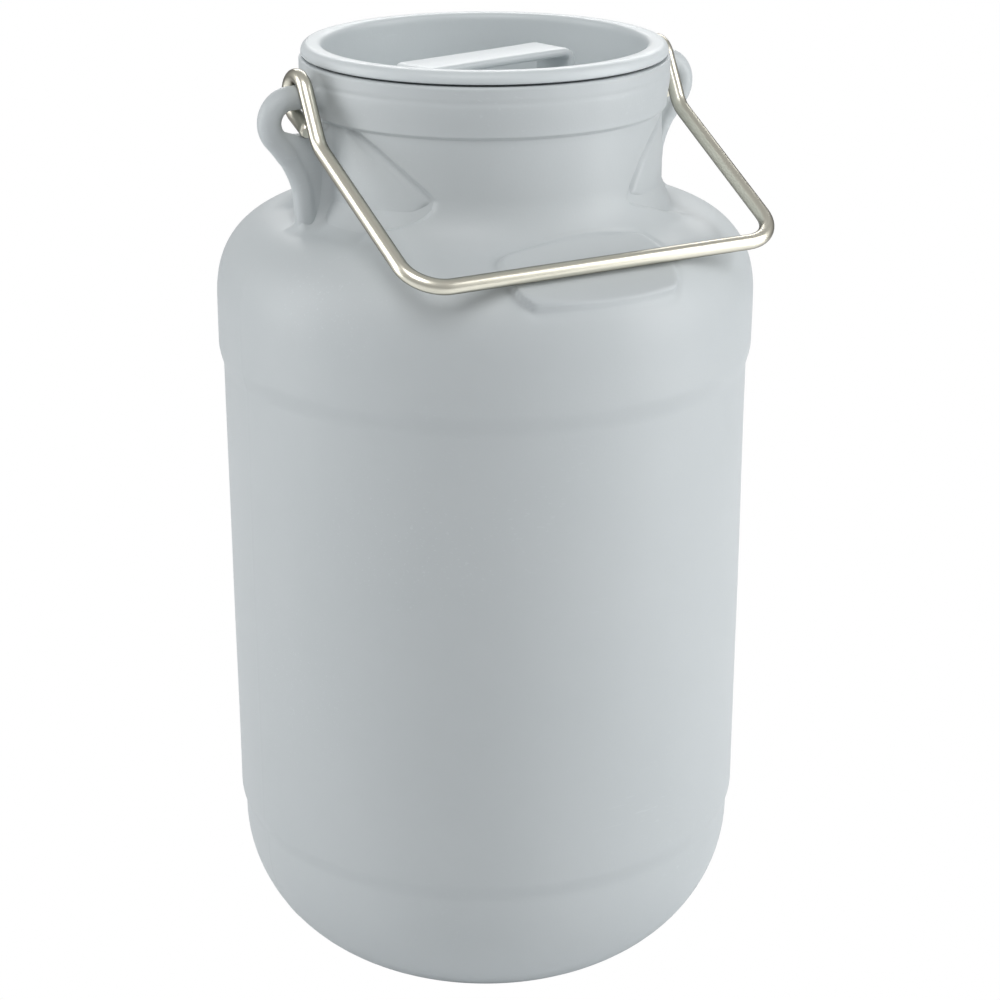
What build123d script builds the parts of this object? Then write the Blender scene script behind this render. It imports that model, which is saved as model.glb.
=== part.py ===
from build123d import *
import os
from math import asin, atan2, cos, hypot, pi, radians, sin, sqrt

# Milk can with a plug lid and a wire bail. Millimetres, +Z up.
# The origin is the centre of the foot ring on the ground. The ears lie on the X axis, the label panel faces -Y.

# Shell
WALL = 3.0              # wall of the blow-moulded shell
SHOULDER_R = 110.0      # largest radius, at the shoulder band
UPPER_STEP = 1.8        # the barrel is this much slimmer than the shoulder band
LOWER_STEP = 1.8        # the lower band is this much slimmer than the barrel
RIM_Z = 383.4           # top of the neck
COLLAR_H = 19.6         # collar round the mouth
NECK_H = 41.8           # neck, from the shoulder to the collar
DOME_H = 36.3           # rise of the domed shoulder
SHOULDER_BAND_H = 17.7  # straight band below the dome
UPPER_STEP_H = 10.0     # height over which the upper step fades
LOWER_BAND_Z = 59.0     # top of the lower band
LOWER_STEP_H = 9.0      # height over which the lower step fades
DOME_POWER = 2.49       # superellipse power of the dome, 2 is an ellipse
NECK_R = 71.5           # outside of the neck
NECK_FLARE = 8.0        # concave flare between dome and neck
COLLAR_LIP = 1.2        # crisp step at the collar's lower edge
COLLAR_OUT = 2.5        # collar at the rim, out from the neck
BASE_CORNER_R = 62.3    # large radius between barrel and base
FOOT_CORNER_R = 20.0    # smaller radius that meets the ground
FOOT_CORNER_START = 57  # degrees below the horizontal where the smaller radius takes over
BASE_HOLLOW = 3.0       # the middle of the base stands this far off the ground
FOOT_W = 8.0            # flat ring that the can stands on
HOLLOW_RAMP = 7.0       # width of the slope between the flat ring and the hollow

# Ears
EAR_BAR_D = 9.5         # round bar that the bail hangs on
EAR_AXIS_DROP = 9.9     # bar's axis below the rim
EAR_EYE_OUT = 10.5      # middle of the eye wire, out from the neck
EAR_LOOP_R = 9.3        # centre line of the ear's round end
EAR_LOOP_OUT = 13.7     # centre of the round end, out from the neck
EAR_HOLE_ROOM = 2.95    # room below the eye wire, down to the web
RIB_OUT = 9.0           # centre line of the rib below the ear, out from the neck
WEB_T = 8.0             # web between the rib and the neck

# Flat label panel on the shoulder
PANEL_W = 66.0
PANEL_IN = 35.0         # inner edge, in from the largest radius
PANEL_OUT = 3.3         # outer edge, in from the largest radius
PANEL_CORNER_R = 6.0
PANEL_PROUD = 1.5       # its outer edge stands this far off the shoulder
PANEL_TILT = 27.4       # degrees from the horizontal

# Lid
LID_GAP = 0.6           # plug inside the neck, on radius
PLUG_WALL = 3.2
PLUG_DEPTH = 31.4       # plug's underside below the neck's rim
LID_RIM_H = 5.6         # crest above the neck's rim
LID_RIM_OUT = 1.6       # outside of the rolled rim, out from the neck
SEAL_T = 0.8
SEAL_W = 3.4

# Bridge grip in the lid's well
GRIP_LENGTH = 80.0
GRIP_WIDTH = 24.0
GRIP_T = 3.5
GRIP_DROP = 6.3         # top of the grip below the lid's crest
GRIP_CORNER_R = 5.0
GRIP_TURN = 11.5        # degrees that the lid is turned from the line of the ears

# Wire bail
WIRE_D = 6.0
REST_GAP = 0.3          # wire to shoulder, and eye to ear bar
BAIL_REST_IN = 16.7     # crossbar's resting place, in from the largest radius
BAIL_TAPER = 1.8        # each arm comes in by this much at the crossbar
BAIL_CORNER_R = 15.0
KINK_OUT = 17.8         # bend between eye and arm, in front of the axis
KINK_DROP = 15.8        # and below it
KINK_R = 12.0
EYE_END_SHORT = 10.0    # the eye's free end stops short of the bend

# Places that follow from these
neck_z = RIM_Z - COLLAR_H - NECK_H
dome_z = neck_z - DOME_H
upper_step_z = dome_z - SHOULDER_BAND_H - UPPER_STEP_H
barrel_r = SHOULDER_R - UPPER_STEP
lower_r = barrel_r - LOWER_STEP
axis_z = RIM_Z - EAR_AXIS_DROP
eye_x = NECK_R + EAR_EYE_OUT
hole_drop = EAR_BAR_D / 2 + REST_GAP + WIRE_D + EAR_HOLE_ROOM
collar_r = NECK_R + COLLAR_OUT
lid_rim_r = NECK_R + LID_RIM_OUT
plug_r = NECK_R - WALL - LID_GAP
well_r = plug_r - PLUG_WALL


def shoulder(t, out=0.0):
    """Point (radius, height) on the dome, t from 0 at its foot to 90 degrees, moved out along the normal."""
    wide, high = SHOULDER_R - NECK_R, DOME_H
    c, s, share = cos(radians(t)), sin(radians(t)), 2 / DOME_POWER
    r, z = NECK_R + wide * c ** share, neck_z - high + high * s ** share
    nr = (c ** (2 - share)) / wide if c > 0 else 0.0
    nz = (s ** (2 - share)) / high if s > 0 else 0.0
    length = hypot(nr, nz)
    return r + out * nr / length, z + out * nz / length


def shoulder_at(reach, out):
    """Point on the moved-out dome at a given radius."""
    low, high = 1.0, 89.0
    for _ in range(60):
        t = (low + high) / 2
        low, high = (t, high) if shoulder(t, out)[0] > reach else (low, t)
    return shoulder(low, out)


def xz(r, z):
    return (r, 0, z)


def shell_outline(inset):
    """Half section of the can from the axis to the rim, drawn inset from the outside."""
    foot_r = FOOT_CORNER_R - inset
    base_r = BASE_CORNER_R - inset
    base_cr = lower_r - BASE_CORNER_R
    turn = radians(FOOT_CORNER_START)
    base_cz = FOOT_CORNER_R * (1 - sin(turn)) + BASE_CORNER_R * sin(turn)
    foot_cr = base_cr + (BASE_CORNER_R - FOOT_CORNER_R) * cos(turn)
    low = inset
    join = xz(base_cr + base_r * cos(turn), base_cz - base_r * sin(turn))
    mid_foot = (turn + pi / 2) / 2
    mid_base = turn / 2
    hollow = Line(xz(0, BASE_HOLLOW + low), xz(foot_cr - FOOT_W - HOLLOW_RAMP, BASE_HOLLOW + low))
    ramp = Line(hollow @ 1, xz(foot_cr - FOOT_W, low))
    ring = Line(ramp @ 1, xz(foot_cr, low))
    foot = ThreePointArc(xz(foot_cr, low),
                         xz(foot_cr + foot_r * cos(mid_foot), FOOT_CORNER_R - foot_r * sin(mid_foot)), join)
    corner = ThreePointArc(join, xz(base_cr + base_r * cos(mid_base), base_cz - base_r * sin(mid_base)),
                           xz(lower_r - inset, base_cz))
    up = (0, 0, 1)
    lower = Line(corner @ 1, xz(lower_r - inset, LOWER_BAND_Z))
    step1 = Spline(lower @ 1, xz(barrel_r - inset, LOWER_BAND_Z + LOWER_STEP_H), tangents=(up, up))
    barrel = Line(step1 @ 1, xz(barrel_r - inset, upper_step_z))
    step2 = Spline(barrel @ 1, xz(SHOULDER_R - inset, upper_step_z + UPPER_STEP_H), tangents=(up, up))
    band = Line(step2 @ 1, xz(SHOULDER_R - inset, dome_z))
    dome_points = [xz(*shoulder_at(SHOULDER_R - inset - d, -inset)) for d in (0.5, 2, 5, 10, 16, 22)]
    last = shoulder_at(NECK_R - inset + NECK_FLARE, -inset)
    tip = shoulder_at(NECK_R - inset + NECK_FLARE + 0.05, -inset)
    inward = (last[0] - tip[0], 0, last[1] - tip[1])
    inside = [p for p in dome_points if p[0] > last[0] + 2]
    dome = Spline(band @ 1, *inside, xz(*last), tangents=(up, inward))
    flare = Spline(dome @ 1, xz(NECK_R - inset, neck_z + NECK_FLARE), tangents=(inward, up))
    line = [hollow, ramp, ring, foot, corner, lower, step1, barrel, step2, band, dome, flare]
    collar_z = RIM_Z - COLLAR_H
    if inset:
        top = xz(NECK_R - inset, RIM_Z + 1)
        line += [Line(flare @ 1, top), Line(top, xz(0, RIM_Z + 1))]
    else:
        neck = Line(flare @ 1, xz(NECK_R, collar_z))
        lip = Line(neck @ 1, xz(NECK_R + COLLAR_LIP, collar_z + COLLAR_LIP))
        side = Spline(lip @ 1, xz(collar_r, RIM_Z - COLLAR_H / 3), tangents=((0.3, 0, 1), up))
        rim = Line(side @ 1, xz(collar_r, RIM_Z))
        line += [neck, lip, side, rim, Line(rim @ 1, xz(0, RIM_Z))]
    line.append(Line(line[-1] @ 1, hollow @ 0))
    return make_face(Wire(line))


def ear():
    """The ear on +X: round bar, round end, and the rib that runs down to the shoulder."""
    loop_x = NECK_R + EAR_LOOP_OUT
    loop_z = axis_z - EAR_LOOP_R
    root = xz(NECK_R, axis_z)
    bar = Line(root, xz(loop_x, axis_z))
    leave = radians(-48)
    bend = ThreePointArc(bar @ 1, xz(loop_x + EAR_LOOP_R, loop_z),
                         xz(loop_x + EAR_LOOP_R * cos(leave), loop_z + EAR_LOOP_R * sin(leave)))
    rib_x = NECK_R + RIB_OUT
    foot_z = shoulder_at(rib_x, 0)[1] - WALL
    rib_mid = xz(rib_x + 1, loop_z - hole_drop - 5)
    rib = Spline(bend @ 1, rib_mid, xz(rib_x, foot_z), tangents=(bend % 1, (0, 0, -1)))
    path = Wire([bar, bend, rib])
    section = Plane(origin=root, z_dir=(1, 0, 0)) * Circle(EAR_BAR_D / 2)
    tube = sweep(section, path)
    web_top = axis_z - hole_drop
    corners = [xz(NECK_R - WALL / 2, web_top), xz(loop_x, web_top), rib_mid, xz(rib_x, foot_z),
               xz(NECK_R - WALL / 2, foot_z)]
    web = make_face(Polyline(*corners, close=True))
    return tube + extrude(web, WEB_T / 2, dir=(0, 1, 0), both=True)


def panel_prism(grow=0.0):
    """Upright block over the panel's outline, grown on every side."""
    inner, outer = SHOULDER_R - PANEL_IN - grow, SHOULDER_R - PANEL_OUT + grow
    block = Pos(0, -(inner + outer) / 2) * Rectangle(PANEL_W + 2 * grow, outer - inner)
    outline = block & Circle(outer)
    outline = fillet(outline.vertices(), PANEL_CORNER_R)
    return extrude(Pos(0, 0, dome_z - DOME_H / 3) * outline, DOME_H * 1.6)


def panel_z(reach, out=0.0):
    """Height of the panel's plane at a distance in front of the can's axis, or of a plane out above it."""
    edge_reach, edge_z = shoulder_at(SHOULDER_R - PANEL_OUT, PANEL_PROUD)
    tilt = radians(PANEL_TILT)
    return edge_z + (edge_reach - reach) * sin(tilt) / cos(tilt) + out / cos(tilt)


def above_panel(sunk=0.0):
    """Everything above the panel's plane, or above a plane sunk below it."""
    reach = SHOULDER_R - PANEL_OUT
    tilt = radians(PANEL_TILT)
    face = Plane(origin=(0, -reach, panel_z(reach)), x_dir=(1, 0, 0), z_dir=(0, -sin(tilt), cos(tilt)))
    side = 2 * SHOULDER_R
    return face * Pos(0, 0, -sunk) * Box(side, side, side, align=(Align.CENTER, Align.CENTER, Align.MIN))


def can_body():
    """Shell with its ears, and a flat panel pressed into the shoulder inside and out."""
    raised = revolve(shell_outline(-PANEL_PROUD), Axis.Z) & panel_prism()
    outside = revolve(shell_outline(0), Axis.Z) + raised
    outside -= panel_prism() & above_panel()
    outside = outside + ear() + mirror(ear(), Plane.YZ)
    inside = revolve(shell_outline(WALL), Axis.Z)
    inside -= panel_prism(WALL) & above_panel(WALL)
    return outside - inside


def lid():
    """Plug lid: rolled rim, straight skirt and a flat floor."""
    seat = RIM_Z + SEAL_T
    crest = RIM_Z + LID_RIM_H
    floor = RIM_Z - PLUG_DEPTH
    rim_mid = (well_r + lid_rim_r) / 2
    outer_bulge = xz(lid_rim_r - 1.0, crest - 1.0)
    inner_bulge = xz(well_r + 1.2, crest - 1.2)
    profile = [
        Line(xz(0, floor), xz(plug_r - 2, floor)),
        Line(xz(plug_r - 2, floor), xz(plug_r, floor + 2)),
        Line(xz(plug_r, floor + 2), xz(plug_r, seat)),
        Line(xz(plug_r, seat), xz(lid_rim_r - 0.6, seat)),
        Line(xz(lid_rim_r - 0.6, seat), xz(lid_rim_r, seat + 0.8)),
        ThreePointArc(xz(lid_rim_r, seat + 0.8), outer_bulge, xz(rim_mid, crest)),
        ThreePointArc(xz(rim_mid, crest), inner_bulge, xz(well_r, crest - 4)),
        Line(xz(well_r, crest - 4), xz(well_r, floor + PLUG_WALL + 3)),
        Line(xz(well_r, floor + PLUG_WALL + 3), xz(well_r - 3, floor + PLUG_WALL)),
        Line(xz(well_r - 3, floor + PLUG_WALL), xz(0, floor + PLUG_WALL)),
        Line(xz(0, floor + PLUG_WALL), xz(0, floor)),
    ]
    return revolve(make_face(Wire(profile)), Axis.Z)


def lid_seal():
    return Pos(0, 0, RIM_Z) * extrude(Circle(plug_r + SEAL_W) - Circle(plug_r), SEAL_T)


def lid_grip():
    """Strap bridge that stands on the well's floor."""
    top = RIM_Z + LID_RIM_H - GRIP_DROP
    foot = RIM_Z - PLUG_DEPTH + PLUG_WALL
    height = top - foot
    outer = Pos(0, foot + height / 2) * Rectangle(GRIP_LENGTH, height)
    outer = fillet(outer.vertices().sort_by(Axis.Y)[-2:], GRIP_CORNER_R)
    inner_h = height - GRIP_T
    inner = Pos(0, foot + inner_h / 2) * Rectangle(GRIP_LENGTH - 2 * GRIP_T, inner_h)
    inner = fillet(inner.vertices().sort_by(Axis.Y)[-2:], GRIP_CORNER_R - GRIP_T)
    section = outer - inner
    bridge = extrude(Plane.XZ * section, GRIP_WIDTH / 2, both=True)
    top_edges = bridge.faces().sort_by(Axis.Z)[-1].edges().filter_by(Axis.X)
    return Rot(0, 0, GRIP_TURN) * fillet(top_edges, 0.8)


def bail_points():
    """Crossbar and bend, as (y, z) from the hinge axis. The crossbar rests on the shoulder or the panel."""
    reach = SHOULDER_R - BAIL_REST_IN
    clear = REST_GAP + WIRE_D / 2
    _, shoulder_z = shoulder_at(hypot(reach, PANEL_W / 2), clear)
    rest_z = max(shoulder_z, panel_z(reach, clear))
    return (-reach, rest_z - axis_z), (-KINK_OUT, -KINK_DROP)


def bail():
    """One wire: crossbar, two arms, and an eye round each ear bar."""
    (cross_y, cross_z), (kink_y, kink_z) = bail_points()
    eye_r = EAR_BAR_D / 2 + REST_GAP + WIRE_D / 2
    kink_far = hypot(kink_y, kink_z)
    heading = atan2(kink_z, kink_y)
    spread = pi / 2 - asin(eye_r / kink_far)
    # The eye: tangent from the bend to the loop, round the bar, and back to the free end.
    front = heading - spread
    back = heading + spread

    def on_loop(angle):
        return (eye_r * cos(angle), eye_r * sin(angle))

    def place(x, yz):
        return (x, yz[0], yz[1] + axis_z)

    far = heading + pi
    end_share = 1 - (EYE_END_SHORT / sqrt(kink_far ** 2 - eye_r ** 2))
    tail0 = on_loop(back)
    tail1 = (tail0[0] + (kink_y - tail0[0]) * end_share, tail0[1] + (kink_z - tail0[1]) * end_share)
    half = []
    for side in (1, -1):
        x = side * eye_x
        low_x = side * (eye_x - BAIL_TAPER)
        half.append({"tail": Line(place(x, tail1), place(x, tail0)),
                     "loop": ThreePointArc(place(x, tail0), place(x, on_loop(far)), place(x, on_loop(front))),
                     "tangent": place(x, on_loop(front)), "kink": place(x, (kink_y, kink_z)),
                     "corner": place(low_x, (cross_y, cross_z))})
    a, b = half
    middle = FilletPolyline(a["tangent"], a["kink"], a["corner"], b["corner"], b["kink"], b["tangent"],
                            radius=[KINK_R, BAIL_CORNER_R, BAIL_CORNER_R, KINK_R])
    path = Wire([a["tail"], a["loop"], *middle.edges(), b["loop"], b["tail"]])
    start = path.position_at(0)
    section = Plane(origin=start, z_dir=path.tangent_at(0)) * Circle(WIRE_D / 2)
    return sweep(section, path)


os.makedirs("parts", exist_ok=True)
export_step(can_body(), "parts/can_body.step")
export_step(lid(), "parts/lid.step")
export_step(lid_seal(), "parts/lid_seal.step")
export_step(lid_grip(), "parts/lid_grip.step")
export_step(bail(), "parts/bail.step")
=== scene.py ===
import bmesh
import bpy
import numpy as np
from math import acos, asin, atan2, cos, hypot, pi, radians, sin, sqrt
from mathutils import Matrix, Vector


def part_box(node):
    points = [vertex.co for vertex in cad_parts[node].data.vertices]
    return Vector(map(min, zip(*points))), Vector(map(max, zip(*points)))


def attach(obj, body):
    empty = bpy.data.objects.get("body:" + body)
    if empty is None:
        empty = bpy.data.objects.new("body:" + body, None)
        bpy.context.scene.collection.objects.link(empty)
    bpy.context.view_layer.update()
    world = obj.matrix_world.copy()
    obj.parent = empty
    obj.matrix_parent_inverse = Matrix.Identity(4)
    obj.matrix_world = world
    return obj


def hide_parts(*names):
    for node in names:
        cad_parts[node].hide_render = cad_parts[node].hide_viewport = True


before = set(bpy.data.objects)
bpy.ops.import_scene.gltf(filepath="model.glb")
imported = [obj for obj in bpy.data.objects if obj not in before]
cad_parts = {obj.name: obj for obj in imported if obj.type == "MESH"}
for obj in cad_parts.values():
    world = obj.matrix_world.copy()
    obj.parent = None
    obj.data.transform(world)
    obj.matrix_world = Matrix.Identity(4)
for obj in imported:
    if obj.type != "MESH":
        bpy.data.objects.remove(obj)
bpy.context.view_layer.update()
MM = 0.001

# ---------------------------------------------------------------- sizes, in millimetres
def node_box(name):
    """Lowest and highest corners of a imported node, in millimetres."""
    low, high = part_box(name)
    return np.array(low) / MM, np.array(high) / MM


body_high = node_box("can_body")[1]
lid_low, lid_high = node_box("lid")
seal_low, seal_high = node_box("lid_seal")
grip_low, grip_high = node_box("lid_grip")
bail_low = node_box("bail")[0]

RIM_Z = seal_low[2]
WALL = 3.0
SHOULDER_R = body_high[1]
BARREL_R = SHOULDER_R - 1.8
LOWER_R = BARREL_R - 1.8
NECK_R = 71.5
COLLAR_R = 74.0
COLLAR_Z = RIM_Z - 19.6
NECK_Z = COLLAR_Z - 41.8
DOME_H = 36.3
DOME_Z = NECK_Z - DOME_H
LIP_LOW = 1.2
FLARE = 11.0
FLARE_PULL = 6.5
UPPER_STEP_H = 10.0
UPPER_STEP_Z = DOME_Z - 17.7 - UPPER_STEP_H
LOWER_STEP_Z = 59.0
LOWER_STEP_H = 9.0
DOME_POWER = 2.49
BASE_CORNER_R = 62.3
FOOT_CORNER_R = 20.0
FOOT_TURN = radians(57)
BASE_HOLLOW = 3.0
FOOT_W = 8.0
HOLLOW_RAMP = 7.0

EAR_BAR_R = 4.75
AXIS_Z = RIM_Z - 9.9
LOOP_OUT = 13.7
LOOP_R = 9.3
HOLE_DROP = 14.0
RIB_OUT = 9.0
WEB_HALF = 3.3
EAR_ROOT = NECK_R - 1.5
RIB_TOP = 350.0
RIB_SHARE = 0.93

PANEL_EDGE = (106.7, DOME_Z + 22.24)
PANEL_TILT = radians(27.4)
PANEL_PROUD = 2.2

WIRE_R = 3.0
EYE_X = NECK_R + 10.5
KINK = (-17.8, -15.8)
KINK_BEND_R = 12.0
CORNER_BEND_R = 15.0
ARM_TAPER = 1.8
EYE_END_SHORT = 10.0

LID_RIM_R = lid_high[0]
PLUG_R = NECK_R - WALL - 0.6
WELL_R = PLUG_R - 3.2
LID_FLOOR = lid_low[2]
LID_SEAT = seal_high[2]
CREST = RIM_Z + 5.6

GRIP_HALF_LENGTH = 40.0
GRIP_HALF_WIDTH = 12.0
GRIP_TURN = radians(11.5)


# ---------------------------------------------------------------- mesh helpers
def smooth(x, low, high):
    """0 below low, 1 above high, with a soft S between them."""
    t = np.clip((x - low) / (high - low), 0.0, 1.0)
    return t * t * (3 - 2 * t)


def mesh_object(name, points, faces, body, material, replaced=()):
    """Points in millimetres become a finished piece in metres, riding on its body."""
    mesh = bpy.data.meshes.new(name)
    mesh.from_pydata((np.asarray(points) * MM).tolist(), [], [tuple(f) for f in faces])
    mesh.validate()
    return finish_piece(mesh, name, body, material, replaced)


def finish_piece(mesh, name, body, material, replaced=()):
    """A mesh becomes a smooth-shaded piece that rides on its body and stands for the replaced nodes."""
    tidy = bmesh.new()
    tidy.from_mesh(mesh)
    bmesh.ops.recalc_face_normals(tidy, faces=tidy.faces)
    tidy.to_mesh(mesh)
    tidy.free()
    mesh.materials.clear()
    mesh.materials.append(material)
    mesh.polygons.foreach_set("use_smooth", [True] * len(mesh.polygons))
    piece = bpy.data.objects.new(name, mesh)
    bpy.context.scene.collection.objects.link(piece)
    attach(piece, body)
    if replaced:
        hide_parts(*replaced)
    return piece


# ---------------------------------------------------------------- node trees
def node(tree, kind, links=None, **values):
    """A node with its settings, its input values and its incoming links."""
    made = tree.nodes.new(kind)
    for key, value in values.items():
        if hasattr(made, key):
            setattr(made, key, value)
        else:
            made.inputs[key.replace("_", " ")].default_value = value
    for key, source in (links or {}).items():
        tree.links.new(source, made.inputs[key])
    return made


def maths(tree, operation, first, second):
    """One arithmetic node. Each side is a socket or a number."""
    made = tree.nodes.new("ShaderNodeMath")
    made.operation = operation
    for slot, value in enumerate((first, second)):
        if isinstance(value, (int, float)):
            made.inputs[slot].default_value = value
        else:
            tree.links.new(value, made.inputs[slot])
    return made.outputs[0]


def geometry_tree(name, inputs):
    """A Geometry Nodes tree with a geometry input, named inputs (title, kind, default) and a material."""
    tree = bpy.data.node_groups.new(name, "GeometryNodeTree")
    tree.interface.new_socket("Geometry", in_out="INPUT", socket_type="NodeSocketGeometry")
    for title, kind, value in inputs:
        socket = tree.interface.new_socket(title, in_out="INPUT", socket_type=kind)
        socket.default_value = value
    tree.interface.new_socket("Material", in_out="INPUT", socket_type="NodeSocketMaterial")
    tree.interface.new_socket("Geometry", in_out="OUTPUT", socket_type="NodeSocketGeometry")
    return tree, tree.nodes.new("NodeGroupInput")


def end_tree(tree, start, geometry):
    """Closes a tree: plain geometry in the tree's material."""
    real = node(tree, "GeometryNodeRealizeInstances", {"Geometry": geometry})
    coat = node(tree, "GeometryNodeSetMaterial", {"Geometry": real.outputs[0],
                                                  "Material": start.outputs["Material"]})
    end = tree.nodes.new("NodeGroupOutput")
    tree.links.new(coat.outputs[0], end.inputs["Geometry"])
    return tree


def rod_tree():
    """A round rod along a line. Each point keeps how far along the rod it is, and how far across."""
    tree, start = geometry_tree("round_rod", [("Radius", "NodeSocketFloat", 0.003),
                                              ("Sides", "NodeSocketInt", 24)])
    line = node(tree, "GeometryNodeMeshToCurve", {"Mesh": start.outputs["Geometry"]})
    length = node(tree, "GeometryNodeSplineParameter")
    path = node(tree, "GeometryNodeStoreNamedAttribute", {"Geometry": line.outputs[0],
                                                          "Value": length.outputs["Length"]},
                data_type="FLOAT", domain="POINT", Name="travel")
    circle = node(tree, "GeometryNodeCurvePrimitiveCircle", {"Resolution": start.outputs["Sides"],
                                                             "Radius": start.outputs["Radius"]})
    place = node(tree, "GeometryNodeInputPosition")
    ring = node(tree, "GeometryNodeStoreNamedAttribute", {"Geometry": circle.outputs[0],
                                                          "Value": place.outputs[0]},
                data_type="FLOAT_VECTOR", domain="POINT", Name="across")
    thickness = node(tree, "GeometryNodeInputNamedAttribute", Name="thickness")
    tube = node(tree, "GeometryNodeCurveToMesh", {"Curve": path.outputs[0], "Profile Curve": ring.outputs[0],
                                                  "Scale": thickness.outputs[0]}, Fill_Caps=True)
    return end_tree(tree, start, tube.outputs[0])


def turned_tree():
    """A section in the XZ plane turned about Z, and welded shut."""
    tree, start = geometry_tree("turned", [("Segments", "NodeSocketInt", 288)])
    section = start.outputs["Geometry"]
    count = node(tree, "GeometryNodeAttributeDomainSize", {"Geometry": section}).outputs["Point Count"]
    segments = start.outputs["Segments"]
    sheet = node(tree, "GeometryNodeMeshGrid", {"Vertices X": maths(tree, "ADD", segments, 1),
                                                "Vertices Y": count})
    index = node(tree, "GeometryNodeInputIndex").outputs[0]
    row = maths(tree, "MODULO", index, count)
    column = maths(tree, "FLOOR", maths(tree, "DIVIDE", maths(tree, "ADD", index, 0.5), count), 0)
    turn = maths(tree, "DIVIDE", maths(tree, "MULTIPLY", column, 2 * pi), segments)
    place = node(tree, "GeometryNodeInputPosition")
    point = node(tree, "GeometryNodeSampleIndex", {"Geometry": section, "Value": place.outputs[0],
                                                   "Index": row}, data_type="FLOAT_VECTOR", domain="POINT")
    spun = node(tree, "ShaderNodeVectorRotate", {"Vector": point.outputs[0], "Angle": turn},
                rotation_type="Z_AXIS")
    laid = node(tree, "GeometryNodeSetPosition", {"Geometry": sheet.outputs["Mesh"],
                                                  "Position": spun.outputs[0]})
    welded = node(tree, "GeometryNodeMergeByDistance", {"Geometry": laid.outputs[0]}, Distance=0.000001)
    return end_tree(tree, start, welded.outputs[0])


def grown(tree, points, settings, material, thickness=None):
    """The plain mesh that a tree makes from a line of points in millimetres."""
    line = bpy.data.meshes.new(tree.name)
    spans = [(i, i + 1) for i in range(len(points) - 1)]
    line.from_pydata((np.asarray(points, float) * MM).tolist(), spans, [])
    if thickness is not None:
        line.attributes.new("thickness", "FLOAT", "POINT").data.foreach_set("value", thickness)
    thing = bpy.data.objects.new(tree.name, line)
    bpy.context.scene.collection.objects.link(thing)
    modifier = thing.modifiers.new(tree.name, "NODES")
    modifier.node_group = tree
    sockets = {item.name: item.identifier for item in tree.interface.items_tree if item.in_out == "INPUT"}
    for title, value in settings.items():
        modifier[sockets[title]] = value
    modifier[sockets["Material"]] = material
    return baked(thing)


def baked(thing):
    """The object with its modifiers applied, as a plain mesh. The object itself is removed."""
    bpy.context.view_layer.update()
    mesh = bpy.data.meshes.new_from_object(thing.evaluated_get(bpy.context.evaluated_depsgraph_get()))
    bpy.data.objects.remove(thing)
    return mesh


def spin_faces(rows, columns):
    """Quads of a closed lathe grid with a single point at each end of the axis."""
    faces = []
    last = 1 + rows * columns
    for k in range(columns):
        n = (k + 1) % columns
        faces.append((0, 1 + k, 1 + n))
        faces.append((last, 1 + (rows - 1) * columns + n, 1 + (rows - 1) * columns + k))
    for i in range(rows - 1):
        a, b = 1 + i * columns, 1 + (i + 1) * columns
        for k in range(columns):
            n = (k + 1) % columns
            faces.append((a + k, b + k, b + n, a + n))
    return faces


def lathe(profile, angles, lift):
    """Turns a closed half section (first and last point on the axis) about Z. lift moves each point out."""
    profile = np.asarray(profile, float)
    ring = profile[1:-1]
    along = np.gradient(ring, axis=0)
    normal = np.stack([along[:, 1], -along[:, 0]], axis=1)
    normal /= np.linalg.norm(normal, axis=1)[:, None]
    r = np.repeat(ring[:, 0:1], len(angles), axis=1)
    z = np.repeat(ring[:, 1:2], len(angles), axis=1)
    out = lift(r, z, angles[None, :], normal[:, 0:1], normal[:, 1:2])
    r = r + out * normal[:, 0:1]
    z = z + out * normal[:, 1:2]
    points = np.stack([r * np.sin(angles), -r * np.cos(angles), z], axis=-1).reshape(-1, 3)
    first, last = [[0, 0, profile[0, 1]]], [[0, 0, profile[-1, 1]]]
    return np.vstack([first, points, last]), spin_faces(len(ring), len(angles))


def arc(cx, cz, radius, start, stop, steps):
    """Points on an arc in the half section, angles in degrees from the outward direction."""
    turns = np.radians(np.linspace(start, stop, steps))
    return [(cx + radius * cos(t), cz + radius * sin(t)) for t in turns]


def spread(start, stop, spacing):
    """Points from start to stop, about spacing apart, without the last one."""
    count = max(1, int(round(hypot(stop[0] - start[0], stop[1] - start[1]) / spacing)))
    steps = np.linspace(0, 1, count, endpoint=False)
    return [(start[0] + (stop[0] - start[0]) * t, start[1] + (stop[1] - start[1]) * t) for t in steps]


def bezier(start, leave, arrive, stop, shares):
    """Points at the given shares of a curve that leaves start and arrives at stop."""
    out = []
    for t in shares:
        w = ((1 - t) ** 3, 3 * t * (1 - t) ** 2, 3 * t * t * (1 - t), t ** 3)
        out.append(tuple(sum(a * b[i] for a, b in zip(w, (start, leave, arrive, stop))) for i in (0, 1)))
    return out


def fade_step(r0, z0, r1, z1, steps):
    """A soft step between two straight walls."""
    t = np.linspace(0, 1, steps, endpoint=False)
    s = t * t * (3 - 2 * t)
    return [(r0 + (r1 - r0) * b, z0 + (z1 - z0) * a) for a, b in zip(t, s)]


# ---------------------------------------------------------------- the shell of the can
def dome(t):
    """A point on the shoulder's round: t is 0 at its widest and a quarter turn at the neck."""
    share = 2 / DOME_POWER
    return (NECK_R + (SHOULDER_R - NECK_R) * cos(t) ** share, DOME_Z + DOME_H * sin(t) ** share)


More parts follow.
